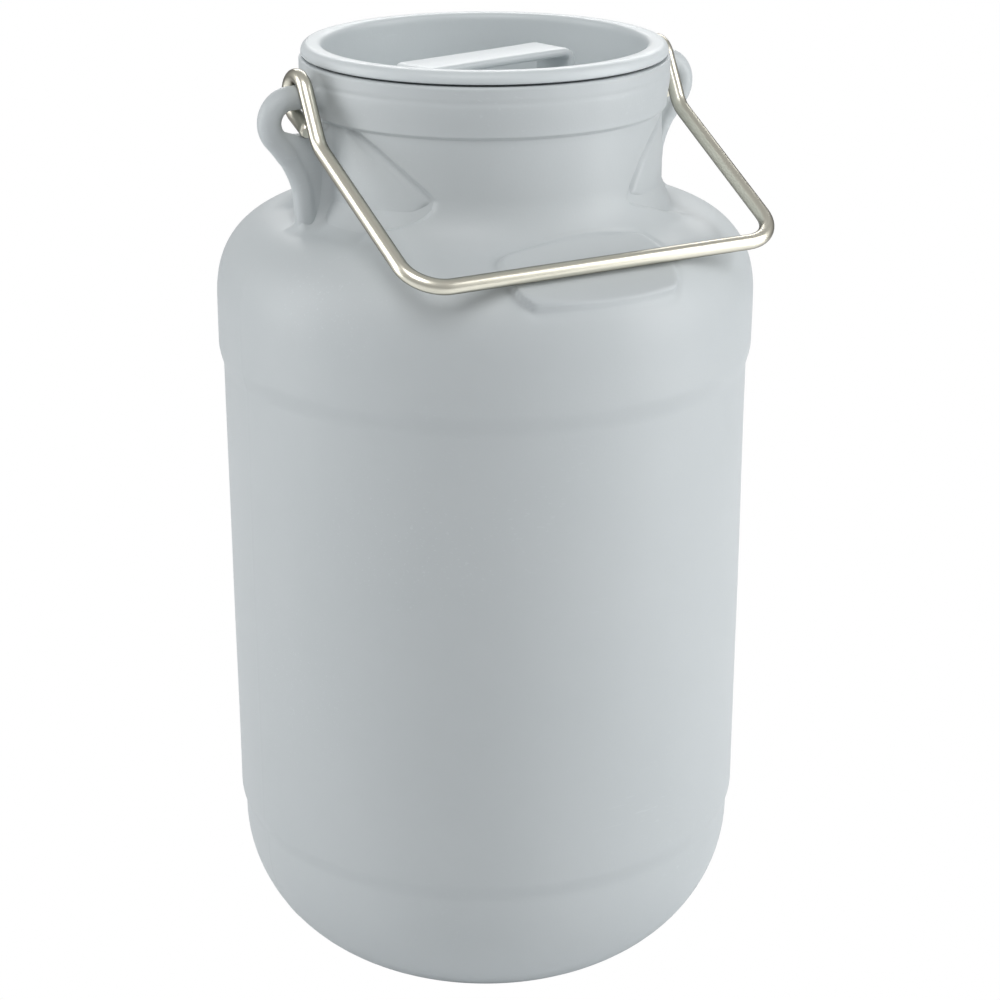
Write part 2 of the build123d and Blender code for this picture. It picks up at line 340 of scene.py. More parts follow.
def outer_section():
    """The outside of the can from the middle of its base to its rim."""
    base_cr = LOWER_R - BASE_CORNER_R
    base_cz = FOOT_CORNER_R * (1 - sin(FOOT_TURN)) + BASE_CORNER_R * sin(FOOT_TURN)
    foot_cr = base_cr + (BASE_CORNER_R - FOOT_CORNER_R) * cos(FOOT_TURN)
    ring_in = foot_cr - FOOT_W
    hollow = ring_in - HOLLOW_RAMP
    points = [(0, BASE_HOLLOW)]
    points += spread((6, BASE_HOLLOW), (hollow, BASE_HOLLOW), 9)
    points += fade_step(hollow, BASE_HOLLOW, ring_in, 0, 8)
    points += spread((ring_in, 0), (foot_cr, 0), 2)
    points += arc(foot_cr, FOOT_CORNER_R, FOOT_CORNER_R, -90, -57, 7)[:-1]
    points += arc(base_cr, base_cz, BASE_CORNER_R, -57, 0, 20)[:-1]
    points += spread((LOWER_R, base_cz), (LOWER_R, LOWER_STEP_Z), 2)
    points += fade_step(LOWER_R, LOWER_STEP_Z, BARREL_R, LOWER_STEP_Z + LOWER_STEP_H, 9)
    points += spread((BARREL_R, LOWER_STEP_Z + LOWER_STEP_H), (BARREL_R, UPPER_STEP_Z), 14)
    points += fade_step(BARREL_R, UPPER_STEP_Z, SHOULDER_R, UPPER_STEP_Z + UPPER_STEP_H, 9)
    points += spread((SHOULDER_R, UPPER_STEP_Z + UPPER_STEP_H), (SHOULDER_R, DOME_Z), 3)
    shoulder = dome_section(NECK_R + FLARE)
    start = shoulder[-1]
    slope = atan2(start[1] - shoulder[-2][1], start[0] - shoulder[-2][0])
    top = (NECK_R, NECK_Z + FLARE)
    leave = (start[0] + FLARE_PULL * cos(slope), start[1] + FLARE_PULL * sin(slope))
    arrive = (NECK_R, top[1] - FLARE_PULL)
    points += shoulder
    points += bezier(start, leave, arrive, top, np.linspace(0, 1, 22, endpoint=False)[1:])
    points += spread(top, (NECK_R, COLLAR_Z - LIP_LOW), 0.8)
    points += collar_section()
    return points


def dome_section(stop_r):
    """The dome walked at an even spacing, from the shoulder in to the radius stop_r."""
    spacing = 1.1
    fine = [dome(t) for t in np.linspace(0.001, pi / 2 - 0.001, 4000)]
    kept = [fine[0]]
    for p in fine:
        if hypot(p[0] - kept[-1][0], p[1] - kept[-1][1]) > spacing and p[0] > stop_r:
            kept.append(p)
    return kept


def collar_section():
    """Collar: crisp lower lip, tapered side, a fine groove, and the rim."""
    lip = 1.3
    z = np.concatenate([np.linspace(COLLAR_Z - LIP_LOW, COLLAR_Z + 1.0, 8),
                        np.linspace(COLLAR_Z + 1.8, RIM_Z - 1.2, 24)])
    rise = smooth(z, COLLAR_Z - 0.9, COLLAR_Z + 0.8) * lip
    rise += smooth(z, COLLAR_Z, RIM_Z - 7.0) * (COLLAR_R - NECK_R - lip)
    groove = 0.30 * np.exp(-((z - (RIM_Z - 6.1)) / 0.8) ** 2)
    points = [(NECK_R + a - b, c) for a, b, c in zip(rise, groove, z)]
    points += arc(COLLAR_R - 1.0, RIM_Z - 1.0, 1.0, 0, 90, 5)
    return points


def inner_section():
    """The inside, from the rim down to the middle of the base."""
    foot_in = LOWER_R - BASE_CORNER_R
    points = spread((COLLAR_R - 3.0, RIM_Z), (NECK_R - WALL + 0.6, RIM_Z), 1.2)
    points += [(NECK_R - WALL + 0.2, RIM_Z - 0.3), (NECK_R - WALL, RIM_Z - 1.0)]
    points += spread((NECK_R - WALL, RIM_Z - 4), (NECK_R - WALL, NECK_Z + 6), 12)
    for t in np.radians(np.linspace(80, 0, 9)):
        r, z = dome(t)
        points.append((r - WALL, z - WALL))
    points += spread((SHOULDER_R - WALL, DOME_Z - 12), (BARREL_R - WALL, UPPER_STEP_Z), 14)
    points += spread((BARREL_R - WALL, UPPER_STEP_Z - 10), (LOWER_R - WALL, LOWER_STEP_Z + 4), 45)
    points += arc(foot_in, 55.5, BASE_CORNER_R - WALL, 0, -57, 8)
    points += [(62, 3.2), (50, BASE_HOLLOW + WALL), (25, BASE_HOLLOW + WALL), (0, BASE_HOLLOW + WALL)]
    return points


# Creases that bound the shallow side facets of the neck: angle from the front in degrees, height.
LEFT_CREASE = ((-77, 364.5), (-64.5, 357.0), (-55.3, 349.5), (-47.5, 342.3), (-45.0, 339.2),
               (-45.6, 336.5), (-49.5, 332.6), (-55.4, 328.6), (-64, 325))
RIGHT_CREASE = ((58, 364.5), (45.4, 359.8), (36, 355.0), (29.6, 348.6), (24.9, 341.8), (21.9, 336.2),
                (22.6, 334.2), (27, 331.8), (33.9, 328.6), (40, 324.6), (50, 321))
# How far a facet steps in at its crease, and how deep the crease itself is cut, on each side.
LEFT_FOLD = (1.3, 1.7)
RIGHT_FOLD = (0.7, 2.1)
FACET_REACH = 22.0
FILLET_R = 21.0


def facet(angle_deg, z, crease, drop, cut):
    """Depth of a facet: drop just inside its crease, and less towards the ear. The crease is cut in too."""
    line = np.array([(radians(a) * NECK_R, h) for a, h in crease])
    p = np.stack([np.radians(angle_deg) * NECK_R, z], axis=-1)
    nearest = np.full(z.shape, 1e9)
    inside = np.zeros(z.shape)
    for a, b in zip(line[:-1], line[1:]):
        d = b - a
        t = np.clip(((p - a) @ d) / (d @ d), 0, 1)
        gap = np.linalg.norm(p - (a + t[..., None] * d), axis=-1)
        cross = d[0] * (p[..., 1] - a[1]) - d[1] * (p[..., 0] - a[0])
        closer = gap < nearest
        nearest = np.where(closer, gap, nearest)
        inside = np.where(closer, np.sign(cross), inside)
    side = -1.0 if line[0, 0] < 0 else 1.0
    depth = nearest * inside * side
    wall = smooth(depth, -1.4, 2.4)
    fade = np.clip(1 - depth / FACET_REACH, 0, 1) ** 1.5
    groove = cut * np.exp(-((depth - 0.8) / 1.6) ** 2)
    return drop * wall * fade * smooth(z, 329, 342) + groove * smooth(z, 320, 330)


def between_creases(angle_deg, z):
    """1 on the front of the neck between its two creases, 0 towards the ears."""
    left, right = (np.interp(-z, [-h for _, h in crease], [a for a, _ in crease])
                   for crease in (LEFT_CREASE, RIGHT_CREASE))
    return (1 - smooth(angle_deg - right, -2.5, 3.5)) * (1 - smooth(left - angle_deg, -2.5, 3.5))


def front_fillet(r, z, nr, nz):
    """Lift on to the large fillet that joins neck and shoulder at the front and the back."""
    curve = np.array([dome(t) for t in np.linspace(0.02, pi / 2 - 0.001, 2000)])
    centre_r = NECK_R + FILLET_R
    low, high = NECK_Z, NECK_Z + 2 * FILLET_R
    for _ in range(40):
        centre_z = (low + high) / 2
        gaps = np.hypot(curve[:, 0] - centre_r, curve[:, 1] - centre_z)
        low, high = (centre_z, high) if gaps.min() < FILLET_R else (low, centre_z)
    leaves = curve[gaps.argmin(), 0]
    away = np.hypot(r - centre_r, z - centre_z)
    toward = (nr * (centre_r - r) + nz * (centre_z - z)) / np.maximum(away, 1.0)
    return np.maximum(away - FILLET_R, 0) / np.maximum(toward, 0.6) * (r < leaves) * (z < centre_z)


def ear_fillet(x, y, z):
    """Height of the concave blend where an ear's bar, web and rib grow out of the neck and the shoulder."""
    bar = np.hypot(y, z - AXIS_Z) - EAR_BAR_R + 0.5
    beside = np.maximum(np.abs(y) - WEB_HALF + 0.6, 0)
    beyond = np.maximum(np.abs(x) - NECK_R - RIB_OUT - 1.6, 0)
    foot = np.maximum(np.hypot(beside, beyond), z - (AXIS_Z - HOLE_DROP))
    fillet = 4.8 + 1.6 * (1 - smooth(z, 326, 345))
    t = np.clip(np.minimum(bar, foot) / fillet, 0.0, 1.0)
    return fillet * (1 - np.sqrt(np.clip(1 - (1 - t) ** 2, 0, 1)))


def panel_lift(x, y, z, ny, nz):
    """Lift on to the flat label panel, proud at its lower edge, with a fine groove round its outline."""
    low, high, centre_x, half, corner = 105.9, 75.5, -4.8, 35.2, 7.0
    reach = np.hypot(x, y)
    side_gap = half - np.abs(x - centre_x)
    end_gap = np.minimum(low - reach, -y - high)
    depth = corner - np.hypot(np.maximum(corner - side_gap, 0), np.maximum(corner - end_gap, 0))
    soft = 0.9 + 1.5 * smooth(y, -92, -80)
    over = (-PANEL_EDGE[0] - y) * -sin(PANEL_TILT) + (PANEL_EDGE[1] - z) * cos(PANEL_TILT)
    facing = np.maximum(-ny * sin(PANEL_TILT) + nz * cos(PANEL_TILT), 0.2)
    border = 0.6 * np.exp(-((depth + 0.7) / 1.0) ** 2)
    return (np.minimum(over / facing, PANEL_PROUD) * smooth(depth, 0.0, soft) - border) * (y < 0)


def waves(angle, z):
    """The faint unevenness of a blow-moulded wall."""
    a = 0.10 * np.sin(3 * angle + z / 31.0 + 0.7) + 0.07 * np.sin(5 * angle - z / 19.0)
    return a * smooth(z, 20, 60) * (1 - smooth(z, 355, 380))


def shell_lift(r, z, angle, nr, nz):
    """How far each outside point stands off the plain lathe shape. Inside points stay where they are."""
    outside = (nr > -0.3) & (r > 40) & ~((r < NECK_R - 1) & (z > 20))
    x, y = r * np.sin(angle), -r * np.cos(angle)
    turn = np.broadcast_to(np.degrees((angle + pi) % (2 * pi) - pi), r.shape)
    # The back of the neck is folded like the front.
    folded = np.where(np.abs(turn) <= 90, turn, np.sign(turn) * (180 - np.abs(turn)))
    near_neck = (1 - smooth(r, NECK_R + 12, NECK_R + 20)) * smooth(z, 317, 323)
    below_collar = 1 - smooth(z, COLLAR_Z - 1.5, COLLAR_Z - 0.3)
    cut = np.maximum(facet(folded, z, LEFT_CREASE, *LEFT_FOLD), facet(folded, z, RIGHT_CREASE, *RIGHT_FOLD))
    lift = -cut * near_neck * below_collar
    lift = lift + front_fillet(r, z, nr, nz) * between_creases(folded, z) * ((r > NECK_R - 1) & (z > DOME_Z))
    lift = lift + panel_lift(x, y, z, -nr * np.cos(angle), nz) * (z > 290) * (r > 72)
    near_ear = (r > NECK_R - 1) * (1 - smooth(r, NECK_R + 16, NECK_R + 22)) * smooth(z, 300, 312)
    lift = lift + ear_fillet(x, y, z) * near_ear * (z < RIM_Z - 0.9)
    lift = lift + waves(angle, z)
    seam = 0.13 * np.exp(-(y / 0.45) ** 2) * (z < 318)
    return (lift + seam) * outside


def column_angles():
    """Angles round the can, crowded at the ears, the creases and the label panel."""
    angles = [-180.0]
    while angles[-1] + column_spacing(angles[-1]) < 180 - 0.4:
        angles.append(angles[-1] + column_spacing(angles[-1]))
    return np.radians(angles)


def column_spacing(degrees):
    """Degrees to the next column: closest at the ears, close at the label panel, wide at the back."""
    if abs(abs(degrees) - 90) < 8:
        return 0.42
    if abs(degrees) < 24:
        return 0.7
    return 0.95 if abs(degrees) < 82 else 1.5


def build_shell(material):
    """The can's wall: outside and inside turned as one closed skin."""
    section = outer_section() + inner_section()
    points, faces = lathe(section, column_angles(), shell_lift)
    return mesh_object("can_shell", points, faces, "can", material, ("can_body",))


# ---------------------------------------------------------------- the ears
def ear_path():
    """Centre line of the ear's bar, round end and rib, in the XZ plane."""
    loop_x, loop_z = NECK_R + LOOP_OUT, AXIS_Z - LOOP_R
    path = [(EAR_ROOT, AXIS_Z), (loop_x - 5, AXIS_Z)]
    for t in np.radians(np.arange(90, -49, -8)):
        path.append((loop_x + LOOP_R * cos(t), loop_z + LOOP_R * sin(t)))
    x, z = path[-1]
    rib_x = NECK_R + RIB_OUT
    path += bezier((x, z), (x - 3.6, z - 4.0), (rib_x + 2.2, z - 12), (rib_x + 0.5, z - 20),
                   np.linspace(0, 1, 12)[1:])
    path += [(rib_x - 0.4, NECK_Z + 3.0), (rib_x + 0.3, NECK_Z - 2.4)]
    return path


def build_ear(side, rods, material):
    """Bar, round end, rib and web, melted into one moulded shape by remeshing."""
    path = ear_path()
    thickness = [1.0 if z > RIB_TOP else RIB_SHARE for x, z in path[:-1]] + [0.7]
    line = [(side * x, 0, z) for x, z in path]
    rod_mesh = grown(rods, line, {"Radius": EAR_BAR_R * MM, "Sides": 28}, material, thickness)
    web_top = AXIS_Z - HOLE_DROP
    outline = [(EAR_ROOT, web_top - 0.5), (NECK_R + LOOP_OUT - 2, web_top - 0.5),
               (NECK_R + LOOP_OUT + 4, web_top + 1.5)]
    outline += [p for p in path if p[1] < web_top - 1.5]
    outline += [(NECK_R + 6.5, NECK_Z - 1.8), (EAR_ROOT, NECK_Z + 9.8)]
    shape = bmesh.new()
    shape.from_mesh(rod_mesh)
    rings = [[shape.verts.new((side * x * MM, y * MM, z * MM)) for x, z in outline]
             for y in (-WEB_HALF, WEB_HALF)]
    shape.faces.new(rings[0])
    shape.faces.new(rings[1][::-1])
    for i in range(len(outline)):
        j = (i + 1) % len(outline)
        shape.faces.new((rings[0][i], rings[0][j], rings[1][j], rings[1][i]))
    bmesh.ops.recalc_face_normals(shape, faces=shape.faces)
    mesh = bpy.data.meshes.new("ear_raw")
    shape.to_mesh(mesh)
    shape.free()
    raw = bpy.data.objects.new("ear_raw", mesh)
    bpy.context.scene.collection.objects.link(raw)
    remesh = raw.modifiers.new("melt", "REMESH")
    remesh.mode = "VOXEL"
    remesh.voxel_size = 0.62 * MM
    soften = raw.modifiers.new("soften", "SMOOTH")
    soften.factor = 0.5
    soften.iterations = 9
    name = "ear_right" if side > 0 else "ear_left"
    return finish_piece(baked(raw), name, "can", material)


# ---------------------------------------------------------------- the lid
def lid_section():
    """Plug lid from the middle of its underside, round the rim, to the middle of its well."""
    under = LID_FLOOR + 0.8
    well = LID_FLOOR + 3.2
    raised = well + 0.5
    middle = (WELL_R + LID_RIM_R) / 2
    half = (LID_RIM_R - WELL_R) / 2
    points = [(0, under)]
    points += spread((5, under), (48, under), 8)
    points += fade_step(50, under, 53, LID_FLOOR, 5)
    points += spread((53, LID_FLOOR), (PLUG_R - 2.2, LID_FLOOR), 3)
    points += arc(PLUG_R - 2.0, LID_FLOOR + 2.0, 2.0, -90, 0, 7)[1:]
    points += spread((PLUG_R, LID_FLOOR + 4), (PLUG_R, LID_SEAT - 0.2), 4)
    points += spread((PLUG_R + 0.2, LID_SEAT), (LID_RIM_R - 0.9, LID_SEAT), 1.0)
    points += [(LID_RIM_R - 0.45, LID_SEAT + 0.12), (LID_RIM_R - 0.1, LID_SEAT + 0.5)]
    # Rolled rim: a full curve over the top, fuller still on its inner side.
    waist = LID_SEAT + 1.0
    for t in np.radians(np.linspace(0, 180, 30)):
        share = 0.85 if t < pi / 2 else 0.62
        c = np.sign(cos(t)) * abs(cos(t)) ** share
        points.append((middle + half * c, waist + (CREST - waist) * sin(t) ** share))
    points += spread((WELL_R + 0.05, waist - 1.5), (WELL_R - 0.6, well + 4), 2.5)
    points += arc(WELL_R - 4.2, well + 3.6, 3.6, 0, -90, 8)
    points += spread((WELL_R - 5.5, well), (51, well), 2.5)
    points += fade_step(50, well, 48, raised, 4)
    points += spread((47, raised), (5, raised), 7)
    points += [(0, raised)]
    return points


def build_lid(turner, material):
    """The dished plug lid with its rolled rim."""
    section = [(r, 0, z) for r, z in lid_section()]
    mesh = grown(turner, section, {"Segments": 288}, material)
    return finish_piece(mesh, "lid_dish", "lid_set", material, ("lid",))


def build_seal(turner, material):
    """Rubber ring with a rounded outer edge, pinched between lid and rim."""
    inner, outer = PLUG_R, seal_high[0]
    low, high = seal_low[2], seal_high[2]
    half = (high - low) / 2
    loop = [(inner + 0.2, low), (inner + 0.02, low + 0.1), (inner + 0.02, high - 0.1), (inner + 0.2, high)]
    loop += arc(outer - half, low + half, half, 90, -90, 9)
    loop += [(inner + 0.2, low)]
    mesh = grown(turner, [(r, 0, z) for r, z in loop], {"Segments": 240}, material)
    return finish_piece(mesh, "seal_ring", "lid_set", material, ("lid_seal",))


def build_grip(material):
    """Strap bridge over the well: rounded shoulders, soft edges and spread feet."""
    low, high = grip_low, grip_high
    thick, bend = 3.5, 5.5
    half = GRIP_HALF_LENGTH
    top, foot = high[2], low[2]
    line = [(-half + thick / 2, foot)]
    line += [(-half + thick / 2, z) for z in np.linspace(foot + 3, top - bend, 5)]
    turn = np.radians(np.linspace(180, 90, 9))
    r = bend - thick / 2
    line += [(-half + bend + r * cos(t), top - bend + r * sin(t)) for t in turn[1:]]
    line += [(x, top - thick / 2) for x in np.linspace(-half + bend, 0, 8)[1:]]
    line += [(-x, z) for x, z in line[-2::-1]]
    line = np.array(line)
    along = np.gradient(line, axis=0)
    normal = np.stack([-along[:, 1], along[:, 0]], axis=1)
    normal /= np.linalg.norm(normal, axis=1)[:, None]
    edge = 1.5
    ring = []
    for sy, sn in ((1, 1), (1, -1), (-1, -1), (-1, 1)):
        for t in np.radians(np.linspace(0, 90, 5)):
            a, b = (sin(t), cos(t)) if sy * sn > 0 else (cos(t), sin(t))
            ring.append((sy, sn, a, b))
    points, faces = [], []
    for (x, z), (nx, nz) in zip(line, normal):
        spread_w = 2.2 * max(0.0, 1 - (z - foot) / 7.0) ** 2
        crown = 0.5 * (1 - smooth(abs(x), 10, half)) if z > top - thick else 0.0
        width = GRIP_HALF_WIDTH - 1.5 + spread_w - crown
        for sy, sn, a, b in ring:
            y = sy * (width - edge + edge * a)
            n = sn * (thick / 2 - edge + edge * b)
            u = x + nx * n
            points.append((u * cos(GRIP_TURN) - y * sin(GRIP_TURN), u * sin(GRIP_TURN) + y * cos(GRIP_TURN),
                           z + nz * n))
    size = len(ring)
    for i in range(len(line) - 1):
        for k in range(size):
            n = (k + 1) % size
            faces.append((i * size + k, i * size + n, (i + 1) * size + n, (i + 1) * size + k))
    faces.append(tuple(range(size)))
    faces.append(tuple((len(line) - 1) * size + k for k in range(size))[::-1])
    return mesh_object("grip_bridge", points, faces, "lid_set", material, ("lid_grip",))


# ---------------------------------------------------------------- the wire bail
def rounded(points, radii):
    """The polyline with each inner corner replaced by its tangent arc."""
    step = 6.0
    out = [np.array(points[0], float)]
    for i in range(1, len(points) - 1):
        p, a, b = (np.array(points[k], float) for k in (i, i - 1, i + 1))
        u, v = (a - p) / np.linalg.norm(a - p), (b - p) / np.linalg.norm(b - p)
        half = acos(np.clip(u @ v, -1, 1)) / 2
        reach = radii[i - 1] / np.tan(half)
        centre = p + (u + v) / np.linalg.norm(u + v) * radii[i - 1] / sin(half)
        start, stop = p + u * reach - centre, p + v * reach - centre
        sweep = acos(np.clip(start @ stop / (start @ start), -1, 1))
        for t in np.linspace(0, 1, max(6, int(np.degrees(sweep) / step))):
            w = (sin((1 - t) * sweep) * start + sin(t * sweep) * stop) / sin(sweep)
            out.append(centre + w)
    out.append(np.array(points[-1], float))
    return out


def bail_path():
    """The wire from one free end to the other: eye, arm, crossbar, arm, eye."""
    cross_y = bail_low[1] + WIRE_R
    cross_z = bail_low[2] + WIRE_R - AXIS_Z
    eye_r = EAR_BAR_R + 0.3 + WIRE_R
    far = hypot(*KINK)
    heading = atan2(KINK[1], KINK[0])
    open_half = pi / 2 - asin(eye_r / far)
    leg = sqrt(far ** 2 - eye_r ** 2)
    left_over = EYE_END_SHORT / leg

    def eye(side):
        turns = np.linspace(heading + open_half, heading + 2 * pi - open_half, 26)
        loop = [np.array([side * EYE_X, eye_r * cos(t), eye_r * sin(t)]) for t in turns]
        kink = np.array([side * EYE_X, *KINK])
        tail = loop[0] + (kink - loop[0]) * (1 - left_over)
        return [tail, loop[0] + (tail - loop[0]) * 0.5], loop, kink

    tail_a, loop_a, kink_a = eye(-1)
    tail_b, loop_b, kink_b = eye(1)
    low = EYE_X - ARM_TAPER
    corner_a = np.array([-low, cross_y, cross_z])
    corner_b = np.array([low, cross_y, cross_z])
    middle = rounded([loop_a[-1], kink_a, corner_a, corner_b, kink_b, loop_b[-1]],
                     [KINK_BEND_R, CORNER_BEND_R, CORNER_BEND_R, KINK_BEND_R])
    path = tail_a + loop_a + middle[1:-1] + loop_b[::-1] + tail_b[::-1]
    return [p + np.array([0, 0, AXIS_Z]) for p in path]


def fill_in(path, longest):
    """Adds points on the straight stretches so that no span is longer than longest."""
    out = [path[0]]
    for a, b in zip(path[:-1], path[1:]):
        gap = np.linalg.norm(b - a)
        if gap < 1e-6:
            continue
        for t in np.linspace(0, 1, int(gap // longest) + 2)[1:]:
            out.append(a + (b - a) * t)
    return out


def build_bail(rods, material):
    """The round wire, with a small chamfer at each free end."""
    path = fill_in(bail_path(), 5.0)
    chamfer = 0.6
    first = path[0] + (path[1] - path[0]) / np.linalg.norm(path[1] - path[0]) * chamfer
    last = path[-1] + (path[-2] - path[-1]) / np.linalg.norm(path[-2] - path[-1]) * chamfer
    path = [path[0], first] + path[1:-1] + [last, path[-1]]
    thickness = [0.8] + [1.0] * (len(path) - 2) + [0.8]
    mesh = grown(rods, path, {"Radius": WIRE_R * MM, "Sides": 32}, material, thickness)
    return finish_piece(mesh, "bail_wire", "bail_wire", material, ("bail",))


# ---------------------------------------------------------------- finishes
def new_group(name, inputs, outputs):
    """An empty shader group with float inputs (name, default) and outputs (name, type)."""
    group = bpy.data.node_groups.new(name, "ShaderNodeTree")
    for title, value in inputs:
        socket = group.interface.new_socket(title, in_out="INPUT", socket_type="NodeSocketFloat")
        socket.default_value = value
    group.interface.new_socket("Vector", in_out="INPUT", socket_type="NodeSocketVector")
    for title, kind in outputs:
        group.interface.new_socket(title, in_out="OUTPUT", socket_type=kind)
    start = group.nodes.new("NodeGroupInput")
    end = group.nodes.new("NodeGroupOutput")
    return group, start, end


def moulded_grain():
    """Skin of moulded plastic: fine pebble, slow flow clouds, and a height for bump."""
    group, start, end = new_group("moulded_grain", [("Pebble", 900.0), ("Cloud", 14.0)],
                                  [("Height", "NodeSocketFloat"), ("Cloud", "NodeSocketFloat"),
                                   ("Speck", "NodeSocketFloat")])
    pebble = node(group, "ShaderNodeTexNoise", {"Vector": start.outputs["Vector"],
                                                "Scale": start.outputs["Pebble"]}, Detail=3.0)
    cloud = node(group, "ShaderNodeTexNoise", {"Vector": start.outputs["Vector"],
                                               "Scale": start.outputs["Cloud"]}, Detail=4.0, Roughness=0.6)
    fleck = node(group, "ShaderNodeTexNoise", {"Vector": start.outputs["Vector"]}, Scale=2600.0, Detail=1.0)
    grain = maths(group, "MULTIPLY", pebble.outputs["Fac"], 0.7)
    swell = maths(group, "MULTIPLY", cloud.outputs["Fac"], 1.6)
    group.links.new(maths(group, "ADD", swell, grain), end.inputs["Height"])
    group.links.new(cloud.outputs["Fac"], end.inputs["Cloud"])
    group.links.new(fleck.outputs["Fac"], end.inputs["Speck"])
    return group


def handling_marks():
    """Hairline scuffs in a few directions, masked into patches."""
    group, start, end = new_group("handling_marks", [("Amount", 0.5)], [("Mask", "NodeSocketFloat")])
    total = None
    for turn in (0.35, 1.4, 2.5):
        lay = node(group, "ShaderNodeMapping", {"Vector": start.outputs["Vector"]})
        lay.inputs["Rotation"].default_value = (turn, turn * 0.7, turn)
        lay.inputs["Scale"].default_value = (22.0, 900.0, 900.0)
        hair = node(group, "ShaderNodeTexNoise", {"Vector": lay.outputs[0]}, Scale=1.0, Detail=1.0)
        thin = node(group, "ShaderNodeMapRange", {"Value": hair.outputs["Fac"]})
        thin.inputs["From Min"].default_value = 0.70
        thin.inputs["From Max"].default_value = 0.76
        if total is None:
            total = thin.outputs[0]
        else:
            total = maths(group, "MAXIMUM", total, thin.outputs[0])
    patch = node(group, "ShaderNodeTexNoise", {"Vector": start.outputs["Vector"]}, Scale=9.0, Detail=2.0)
    where = node(group, "ShaderNodeMapRange", {"Value": patch.outputs["Fac"]})
    where.inputs["From Min"].default_value = 0.48
    where.inputs["From Max"].default_value = 0.66
    both = maths(group, "MULTIPLY", total, where.outputs[0])
    group.links.new(maths(group, "MULTIPLY", both, start.outputs["Amount"]), end.inputs["Mask"])
    return group


def srgb(r, g, b):
    """Display colour, 0 to 255, as a linear one."""
    return tuple(((c / 255 + 0.055) / 1.055) ** 2.4 for c in (r, g, b)) + (1.0,)


def blank_material(name):
    """A material with its shader wired to the output, and its coordinates."""
    material = bpy.data.materials.new(name)
    material.use_nodes = True
    tree = material.node_tree
    tree.nodes.clear()
    shader = tree.nodes.new("ShaderNodeBsdfPrincipled")
    out = tree.nodes.new("ShaderNodeOutputMaterial")
    tree.links.new(shader.outputs[0], out.inputs["Surface"])
    place = tree.nodes.new("ShaderNodeTexCoord")
    return material, tree, shader, place


def add_relief(tree, shader, height, strength, distance):
    """A bump from a height into the shader's normal, with its distance in metres."""
    relief = node(tree, "ShaderNodeBump", {"Height": height}, Strength=strength, Distance=distance)
    tree.links.new(relief.outputs[0], shader.inputs["Normal"])


def use_group(tree, group, place, **values):
    """A shared group placed in a material, on the given coordinates."""
    made = tree.nodes.new("ShaderNodeGroup")
    made.node_tree = group
    tree.links.new(place, made.inputs["Vector"])
    for key, value in values.items():
        made.inputs[key].default_value = value
    return made


def plastic(name, grain, marks, light, dark, roughness, bump):
    """Satin moulded polyethylene, clouded between a light and a dark display colour."""
    material, tree, shader, place = blank_material(name)
    skin = use_group(tree, grain, place.outputs["Object"])
    scuff = use_group(tree, marks, place.outputs["Object"], Amount=0.35)
    tint = node(tree, "ShaderNodeMix", {"Factor": skin.outputs["Cloud"]}, data_type="RGBA")
    tint.inputs["A"].default_value = srgb(*light)
    tint.inputs["B"].default_value = srgb(*dark)
    worn = node(tree, "ShaderNodeMix", {"Factor": scuff.outputs["Mask"], "A": tint.outputs["Result"]},
                data_type="RGBA")
    worn.inputs["B"].default_value = srgb(206, 212, 214)
    tree.links.new(worn.outputs["Result"], shader.inputs["Base Color"])
    gloss = node(tree, "ShaderNodeMapRange", {"Value": skin.outputs["Speck"]})
    gloss.inputs["To Min"].default_value = roughness - 0.05
    gloss.inputs["To Max"].default_value = roughness + 0.07
    dull = maths(tree, "ADD", maths(tree, "MULTIPLY", scuff.outputs["Mask"], 0.2), gloss.outputs[0])
    tree.links.new(dull, shader.inputs["Roughness"])
    add_relief(tree, shader, skin.outputs["Height"], bump, 0.0004)
    shader.inputs["IOR"].default_value = 1.49
    shader.inputs["Specular IOR Level"].default_value = 0.42
    return material


def rubber(name, grain):
    """Dull dark rubber."""
    material, tree, shader, place = blank_material(name)
    skin = use_group(tree, grain, place.outputs["Object"], Pebble=1600.0, Cloud=40.0)
    tint = node(tree, "ShaderNodeMix", {"Factor": skin.outputs["Cloud"]}, data_type="RGBA")
    tint.inputs["A"].default_value = srgb(58, 62, 64)
    tint.inputs["B"].default_value = srgb(84, 89, 91)
    tree.links.new(tint.outputs["Result"], shader.inputs["Base Color"])
    add_relief(tree, shader, skin.outputs["Height"], 0.3, 0.0002)
    shader.inputs["Roughness"].default_value = 0.62
    return material


